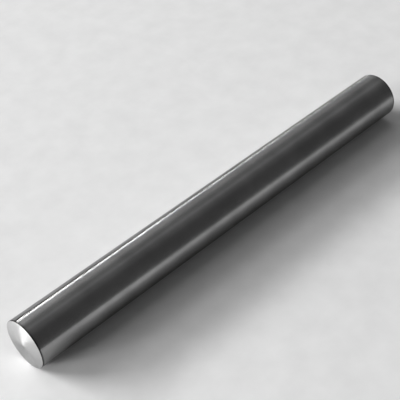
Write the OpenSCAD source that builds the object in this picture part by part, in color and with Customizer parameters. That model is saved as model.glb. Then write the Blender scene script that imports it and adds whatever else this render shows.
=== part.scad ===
// Parallel dowel pin: a round ground shank with a low crown at each end, all turned from one bar.
// It lies along X with its axis at the origin's height. The origin is halfway between its ends.

/* [Shank] */
// Diameter of the ground shank
shank_d = 6; // [4:0.5:12]
// Length of the shank, from the rim of one end to the rim of the other
shank_l = 60; // [16:1:120]

/* [Ends] */
// Height of the crown on each end, above its rim
crown_h = 0.2; // [0.1:0.05:1]
// How far the 45 degree break of the rim's edge reaches along the shank
edge_break = 0.05; // [0.02:0.01:0.2]

/* [Hidden] */
$fn = 180;

shank_r = shank_d / 2;
half_l = shank_l / 2;

// Each crown is the cap of a ball that passes through the rim, with its centre on the axis
crown_r = (pow(shank_r, 2) + pow(crown_h, 2)) / (2 * crown_h);
crown_centre = half_l + crown_h - crown_r;

// Half of the pin's section, from its middle to the top of one crown, with a sharp rim
// X is the distance from the axis, and Y runs along it
module sharp_half() {
    square([shank_r, half_l]);
    intersection() {
        translate([0, half_l]) square([shank_r, crown_h]);
        translate([0, crown_centre]) circle(r = crown_r);
    }
}

// What the 45 degree edge break leaves of that half
module edge_limit() {
    break_at = half_l - edge_break;
    polygon([[0, 0], [shank_r, 0], [shank_r, break_at], [0, break_at + shank_r]]);
}

// The whole pin, one solid turned about X
module pin() {
    color("#b9bcc0")
        rotate([0, 90, 0])
            rotate_extrude()
                for (end = [0, 1])
                    mirror([0, end])
                        intersection() {
                            sharp_half();
                            edge_limit();
                        }
}

pin();
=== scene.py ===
import math

import bpy
from mathutils import Matrix, Vector


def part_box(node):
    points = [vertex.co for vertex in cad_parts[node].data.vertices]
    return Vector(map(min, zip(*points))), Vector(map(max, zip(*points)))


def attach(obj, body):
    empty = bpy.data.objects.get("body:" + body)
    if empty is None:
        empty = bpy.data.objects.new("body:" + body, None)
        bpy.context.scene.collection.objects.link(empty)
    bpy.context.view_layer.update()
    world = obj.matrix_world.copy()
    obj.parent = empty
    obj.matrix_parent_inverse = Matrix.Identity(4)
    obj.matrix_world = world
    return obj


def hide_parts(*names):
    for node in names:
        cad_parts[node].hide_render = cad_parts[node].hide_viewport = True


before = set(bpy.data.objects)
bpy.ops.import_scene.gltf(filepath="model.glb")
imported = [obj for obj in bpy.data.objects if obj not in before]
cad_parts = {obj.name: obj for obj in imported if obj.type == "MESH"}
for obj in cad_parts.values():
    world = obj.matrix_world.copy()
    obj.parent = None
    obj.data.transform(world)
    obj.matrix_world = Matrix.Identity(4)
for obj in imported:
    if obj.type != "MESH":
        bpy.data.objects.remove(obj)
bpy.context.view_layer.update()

MM = 0.001

# Sizes of the pin, in metres. The overall ones come from the CAD pin.
PIN_LOW, PIN_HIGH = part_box("pin")
RADIUS = (PIN_HIGH.z - PIN_LOW.z) / 2
HALF_LENGTH = (PIN_HIGH.x - PIN_LOW.x) / 2
CROWN_HEIGHT = 0.2 * MM
EDGE_ROUNDING = 0.05 * MM
RIM_X = HALF_LENGTH - CROWN_HEIGHT
FLOOR_Z = -RADIUS

# Each crown is the cap of a ball that passes through the rim.
BALL_RADIUS = (RADIUS ** 2 + CROWN_HEIGHT ** 2) / (2 * CROWN_HEIGHT)

# How the mesh is divided: at shares of the shank's length and of the crown's radius, and all the way round.
SHANK_SHARES = (0.004, 0.02, 0.12, 0.25, 0.5, 0.75, 0.88, 0.98, 0.996, 1.0)
CROWN_SHARES = (0.96, 0.88, 0.76, 0.62, 0.48, 0.34, 0.2, 0.08)
SEGMENTS_ROUND = 256
ROUNDING_STEPS = 4

# Vertices this close to a place count as lying on it.
TOUCH = 0.0001 * MM

# Faces whose middle is further out than this belong to the turned ends.
ENDS_X = RIM_X + 0.0005 * MM

# Edges that turn by less than this are shaded smooth.
SMOOTH_ANGLE = math.radians(30)

# Bare steel, seen at a glancing angle, is a little darker than a mirror would be.
GLANCING_TINT = 0.7

# Finish of the ground shank. Densities are counts per metre along X, Y and Z.
SHANK_GREY = 0.31
SHANK_ROUGHNESS = 0.25
GRINDING_DENSITY = (14000, 160, 160)
GRINDING_CONTRAST = 0.015
GRINDING_ROUGHNESS_CHANGE = 0.004
CLOUD_DENSITY = (300, 300, 300)
CLOUD_CONTRAST = 0.13

# Painted shade: a dark line painted beside each rim. It starts and is full this far from the rim, and keeps
# this share of the grey.
RIM_SHADE_START = 0.24 * MM
RIM_SHADE_FULL = 0.08 * MM
RIM_SHADE_SHARE = 0.12

# Finish of the turned ends.
END_GREY = 0.48
END_ROUGHNESS = 0.394
END_GRAIN = 0.444
MARK_PITCH = 0.06 * MM

# How steeply a turning mark falls away from the centre, across its width: an easy flank, then a steep one.
MARK_FLANKS = [(0.0, 0.16), (0.62, 0.20), (0.68, 0.30), (0.80, 0.48), (0.84, 0.68), (1.0, 0.80)]

# White paper under the pin.
PAPER_SIZE = 4.0
PAPER_GREY = 0.81
PAPER_DENSITY = (320, 320, 320)
PAPER_CONTRAST = 0.025
PAPER_ROUGHNESS = 0.9
PAPER_SHINE = 0.1

# Most of a soft random pattern lies between these two values.
PATTERN_LOW = 0.3
PATTERN_HIGH = 0.7

# The photograph's camera, from a pin of this size fitted to its outline. Lens and sensor are in millimetres.
CAMERA_PLACE = Vector((-65.1, -60.77, 85.76)) * MM
CAMERA_AIM = Vector((0.5135, 0.5090, -0.6908))
LENS = 92.56
SENSOR_WIDTH = 36.0
NEAREST = 0.001
FARTHEST = 20.0

# Soft light panels: name, azimuth and elevation in degrees, distance, width and height in metres, and watts.
PANELS = [
    ("back_panel", -36, 23.5, 1.6, 0.88, 0.17, 26.0),
    ("high_back_panel", -36, 38, 1.6, 0.84, 0.40, 6.0),
    ("left_panel", -80, 16, 0.8, 0.25, 0.10, 3.1),
    ("low_left_panel", -62, 6, 0.8, 0.25, 0.14, 2.85),
    ("right_back_panel", 4, 23.5, 1.6, 0.44, 0.16, 2.6),
    ("low_back_lamp", 22.2, 11.1, 1.6, 0.226, 0.112, 1.85),
]

# The room's brightness, by the angle in degrees from the front horizon, over the top, to the back one.
ROOM = [
    (0, 0.16), (20, 0.115), (45, 0.11), (65, 0.105), (80, 0.105),
    (90, 0.125), (100, 0.28), (130, 0.14), (155, 0.01), (180, 0.01),
]


def crown_rise(radius):
    """How far the crown stands out beyond its rim, at a radius from the axis."""
    return math.sqrt(BALL_RADIUS ** 2 - radius ** 2) - (BALL_RADIUS - CROWN_HEIGHT)


def select_at(pin, test):
    """Selects the vertices that pass the test, and the edges between them, in edit mode."""
    bpy.ops.mesh.select_all(action="DESELECT")
    bpy.ops.object.mode_set(mode="OBJECT")
    for vertex in pin.data.vertices:
        vertex.select = test(vertex.co)
    bpy.ops.object.mode_set(mode="EDIT")


def extrude_along_x(step):
    """Draws the selected circle out by a step along X, in edit mode."""
    bpy.ops.mesh.extrude_region_move(TRANSFORM_OT_translate={"value": (step, 0, 0)})


def add_rim_circle():
    """The circle of the near rim, around the X axis, open in the middle."""
    bpy.ops.mesh.primitive_circle_add(
        vertices=SEGMENTS_ROUND, radius=RADIUS, location=(-RIM_X, 0, 0), rotation=(0, math.pi / 2, 0)
    )
    pin = bpy.context.object
    bpy.ops.object.transform_apply(location=True, rotation=True, scale=True)
    return pin


def extrude_shank():
    """Draws the near rim out along X to the far rim, in a few bays."""
    bpy.ops.object.mode_set(mode="EDIT")
    bpy.ops.mesh.select_mode(type="VERT")
    bpy.ops.mesh.select_all(action="SELECT")
    reached = 0.0
    for share in SHANK_SHARES:
        extrude_along_x((share - reached) * 2 * RIM_X)
        reached = share


def close_crown(pin, side):
    """Closes the rim on one side with rings that follow the crown, up to the turning centre."""
    select_at(pin, lambda co: abs(co.x - side * RIM_X) < TOUCH)
    radius, rise = RADIUS, 0.0
    for share in CROWN_SHARES:
        new_radius = share * RADIUS
        new_rise = crown_rise(new_radius)
        scale = new_radius / radius
        extrude_along_x(side * (new_rise - rise))
        bpy.ops.transform.resize(value=(1, scale, scale), center_override=(0, 0, 0))
        radius, rise = new_radius, new_rise
    extrude_along_x(side * (CROWN_HEIGHT - rise))
    bpy.ops.mesh.merge(type="CENTER")


def round_rims(pin):
    """Breaks the sharp edge of both rims with a small rounding."""
    select_at(pin, lambda co: abs(abs(co.x) - RIM_X) < TOUCH)
    bpy.ops.mesh.select_mode(type="EDGE")
    bpy.ops.mesh.bevel(offset=EDGE_ROUNDING, segments=ROUNDING_STEPS, profile=0.5, affect="EDGES")


def make_pin():
    """The whole pin: ground shank, two crowns and their rounded rims."""
    bpy.ops.object.select_all(action="DESELECT")
    pin = add_rim_circle()
    pin.name = "turned_pin"
    extrude_shank()
    close_crown(pin, -1)
    close_crown(pin, 1)
    round_rims(pin)
    bpy.ops.mesh.select_all(action="SELECT")
    bpy.ops.mesh.normals_make_consistent(inside=False)
    bpy.ops.object.mode_set(mode="OBJECT")
    bpy.ops.object.origin_set(type="ORIGIN_CURSOR")
    bpy.ops.object.shade_smooth_by_angle(angle=SMOOTH_ANGLE)
    return pin


def new_material(name):
    """A new material, with its node tree and its shader."""
    material = bpy.data.materials.new(name)
    material.use_nodes = True
    tree = material.node_tree
    return material, tree, tree.nodes["Principled BSDF"]


def plain_grey(level):
    """A grey colour, opaque."""
    return (level, level, level, 1)


def fill(tree, socket, value):
    """Sets a number on a node's input, or links another node's output to it."""
    if isinstance(value, bpy.types.NodeSocket):
        tree.links.new(value, socket)
    else:
        socket.default_value = value


def math_node(tree, operation, *values):
    """The result of a sum on numbers or on other nodes' outputs."""
    node = tree.nodes.new("ShaderNodeMath")
    node.operation = operation
    for socket, value in zip(node.inputs, values):
        fill(tree, socket, value)
    return node.outputs["Value"]


def vector_node(tree, operation, *values):
    """A node with a sum on vectors, which come from other nodes."""
    node = tree.nodes.new("ShaderNodeVectorMath")
    node.operation = operation
    for socket, value in zip(node.inputs, values):
        fill(tree, socket, value)
    return node


def remap(tree, value, low, high, new_low, new_high):
    """Stretches a value's range onto a new one, and holds it at the new one's ends."""
    node = tree.nodes.new("ShaderNodeMapRange")
    for name, number in (("From Min", low), ("From Max", high), ("To Min", new_low), ("To Max", new_high)):
        node.inputs[name].default_value = number
    tree.links.new(value, node.inputs["Value"])
    return node.outputs["Result"]


def grey_ramp(tree, value, stops):
    """A grey that changes with a value from 0 to 1, by stops that each hold a place and a level."""
    node = tree.nodes.new("ShaderNodeValToRGB")
    elements = node.color_ramp.elements
    elements[0].position, elements[0].color = stops[0][0], plain_grey(stops[0][1])
    elements[1].position, elements[1].color = stops[-1][0], plain_grey(stops[-1][1])
    for place, level in stops[1:-1]:
        elements.new(place).color = plain_grey(level)
    tree.links.new(value, node.inputs["Fac"])
    return node.outputs["Color"]


def varying_grey(tree, level):
    """A grey colour whose level comes from another node."""
    node = tree.nodes.new("ShaderNodeCombineColor")
    for channel in ("Red", "Green", "Blue"):
        tree.links.new(level, node.inputs[channel])
    return node.outputs["Color"]


def split_xyz(tree, vector):
    """A node that gives the X, Y and Z of a vector."""
    node = tree.nodes.new("ShaderNodeSeparateXYZ")
    tree.links.new(vector, node.inputs["Vector"])
    return node


def soft_pattern(tree, place, density, detail):
    """A soft random pattern in the piece's own space, with so many clouds a metre along X, Y and Z."""
    spread = tree.nodes.new("ShaderNodeMapping")
    spread.inputs["Scale"].default_value = density
    tree.links.new(place, spread.inputs["Vector"])
    noise = tree.nodes.new("ShaderNodeTexNoise")
    noise.inputs["Scale"].default_value = 1.0
    noise.inputs["Detail"].default_value = detail
    tree.links.new(spread.outputs["Vector"], noise.inputs["Vector"])
    return noise.outputs["Fac"]


def vary(tree, pattern, middle, change):
    """A value that a soft pattern moves up and down by a change."""
    return remap(tree, pattern, PATTERN_LOW, PATTERN_HIGH, middle - change, middle + change)


def grained_steel(name, grey, roughness, grain, turn):
    """Bare steel with fine tool lines round the axis.

    A turn of 0.25 spreads its gloss across the lines, and a turn of 0 along them.
    """
    material, tree, shader = new_material(name)
    shader.inputs["Metallic"].default_value = 1.0
    shader.inputs["Base Color"].default_value = plain_grey(grey)
    shader.inputs["Roughness"].default_value = roughness
    shader.inputs["Specular Tint"].default_value = plain_grey(GLANCING_TINT)
    shader.inputs["Anisotropic"].default_value = grain
    shader.inputs["Anisotropic Rotation"].default_value = turn
    tangent = tree.nodes.new("ShaderNodeTangent")
    tangent.direction_type = "RADIAL"
    tangent.axis = "X"
    tree.links.new(tangent.outputs["Tangent"], shader.inputs["Tangent"])
    return material, tree, shader


def ground_shank():
    """Fine grinding lines round the shank, a little cloudiness, and painted shade: a dark line beside each
    rim.
    """
    material, tree, shader = grained_steel("ground_shank", SHANK_GREY, SHANK_ROUGHNESS, grain=1.0, turn=0.25)
    place = tree.nodes.new("ShaderNodeTexCoord").outputs["Object"]
    lines = soft_pattern(tree, place, GRINDING_DENSITY, detail=3)
    clouds = soft_pattern(tree, place, CLOUD_DENSITY, detail=4)
    line_tone = vary(tree, lines, 1.0, GRINDING_CONTRAST)
    cloud_tone = vary(tree, clouds, 1.0, CLOUD_CONTRAST)
    along = math_node(tree, "ABSOLUTE", split_xyz(tree, place).outputs["X"])
    # Painted shade: the grey falls to a thin dark line beside each rim.
    rim_shade_grey = RIM_SHADE_SHARE * SHANK_GREY
    rim_shade_tone = remap(tree, along, RIM_X - RIM_SHADE_START, RIM_X - RIM_SHADE_FULL, SHANK_GREY, rim_shade_grey)
    tone = math_node(tree, "MULTIPLY", line_tone, cloud_tone)
    level = math_node(tree, "MULTIPLY", tone, rim_shade_tone)
    tree.links.new(varying_grey(tree, level), shader.inputs["Base Color"])
    gloss = vary(tree, lines, SHANK_ROUGHNESS, GRINDING_ROUGHNESS_CHANGE)
    tree.links.new(gloss, shader.inputs["Roughness"])
    return material


def turned_ends():
    """Fine steps left by the tool as it faced the end. Each leans the surface away from the centre."""
    material, tree, shader = grained_steel("turned_ends", END_GREY, END_ROUGHNESS, END_GRAIN, turn=0.0)
    place = tree.nodes.new("ShaderNodeTexCoord")
    split = split_xyz(tree, place.outputs["Object"])
    across = tree.nodes.new("ShaderNodeCombineXYZ")
    tree.links.new(split.outputs["Y"], across.inputs["Y"])
    tree.links.new(split.outputs["Z"], across.inputs["Z"])
    outward = vector_node(tree, "NORMALIZE", across.outputs["Vector"]).outputs["Vector"]
    radius = vector_node(tree, "LENGTH", across.outputs["Vector"]).outputs["Value"]
    part = math_node(tree, "FRACT", math_node(tree, "DIVIDE", radius, MARK_PITCH))
    flank = grey_ramp(tree, part, MARK_FLANKS)
    lean = vector_node(tree, "MULTIPLY", outward, flank).outputs["Vector"]
    leaning = vector_node(tree, "ADD", place.outputs["Normal"], lean).outputs["Vector"]
    world = tree.nodes.new("ShaderNodeVectorTransform")
    world.vector_type = "NORMAL"
    world.convert_from = "OBJECT"
    world.convert_to = "WORLD"
    tree.links.new(leaning, world.inputs["Vector"])
    tree.links.new(world.outputs["Vector"], shader.inputs["Normal"])
    return material


def dress_pin():
    """The pin with its two finishes, one on the shank and one on the crowns."""
    pin = make_pin()
    pin.data.materials.append(ground_shank())
    pin.data.materials.append(turned_ends())
    for face in pin.data.polygons:
        face.material_index = 1 if abs(face.center.x) > ENDS_X else 0
    return pin


def white_paper():
    """Dull white paper with a faint mottle."""
    material, tree, shader = new_material("white_paper")
    place = tree.nodes.new("ShaderNodeTexCoord").outputs["Object"]
    mottle = soft_pattern(tree, place, PAPER_DENSITY, detail=4)
    level = vary(tree, mottle, PAPER_GREY, PAPER_CONTRAST)
    tree.links.new(varying_grey(tree, level), shader.inputs["Base Color"])
    shader.inputs["Roughness"].default_value = PAPER_ROUGHNESS
    shader.inputs["Specular IOR Level"].default_value = PAPER_SHINE
    return material


def make_floor():
    """The paper that the pin lies on."""
    bpy.ops.mesh.primitive_plane_add(size=PAPER_SIZE, location=(0, 0, FLOOR_Z))
    floor = bpy.context.object
    floor.name = "paper_floor"
    floor.data.materials.append(white_paper())


def make_camera():
    """The photograph's camera: close to the pin, looking down its length from the near end's side."""
    data = bpy.data.cameras.new("camera")
    data.sensor_width = SENSOR_WIDTH
    data.lens = LENS
    data.clip_start = NEAREST
    data.clip_end = FARTHEST
    camera = bpy.data.objects.new("camera", data)
    bpy.context.scene.collection.objects.link(camera)
    forward = CAMERA_AIM.normalized()
    right = forward.cross(Vector((0, 0, 1))).normalized()
    up = right.cross(forward)
    turn = Matrix((right, up, -forward)).transposed().to_4x4()
    camera.matrix_world = Matrix.Translation(CAMERA_PLACE) @ turn
    bpy.context.scene.camera = camera


def direction(azimuth, elevation):
    """A way to look, by its azimuth in degrees from +Y towards +X and its elevation above the floor."""
    a, e = math.radians(azimuth), math.radians(elevation)
    return Vector((math.sin(a) * math.cos(e), math.cos(a) * math.cos(e), math.sin(e)))


def add_panel(name, azimuth, elevation, distance, width, height, power):
    """A soft light panel that faces the pin."""
    data = bpy.data.lights.new(name, "AREA")
    data.shape = "RECTANGLE"
    data.size = width
    data.size_y = height
    data.energy = power
    lamp = bpy.data.objects.new(name, data)
    bpy.context.scene.collection.objects.link(lamp)
    place = direction(azimuth, elevation) * distance
    lamp.location = place
    lamp.rotation_euler = place.to_track_quat("Z", "Y").to_euler()


def make_world():
    """A dim room, brightest overhead and a little to the back, and dark at the back horizon."""
    world = bpy.data.worlds.new("dim_room")
    bpy.context.scene.world = world
    world.use_nodes = True
    tree = world.node_tree
    place = tree.nodes.new("ShaderNodeTexCoord").outputs["Generated"]
    split = split_xyz(tree, place)
    front = math_node(tree, "MULTIPLY", split.outputs["Y"], -1.0)
    over = math_node(tree, "ARCTAN2", split.outputs["Z"], front)
    share = math_node(tree, "DIVIDE", over, math.pi)
    stops = [(angle / 180, level) for angle, level in ROOM]
    tree.links.new(grey_ramp(tree, share, stops), tree.nodes["Background"].inputs["Color"])


bpy.context.scene.view_settings.view_transform = "Standard"
make_camera()
make_floor()
make_world()
for panel in PANELS:
    add_panel(*panel)

pin = dress_pin()
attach(pin, "root")
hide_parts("pin")
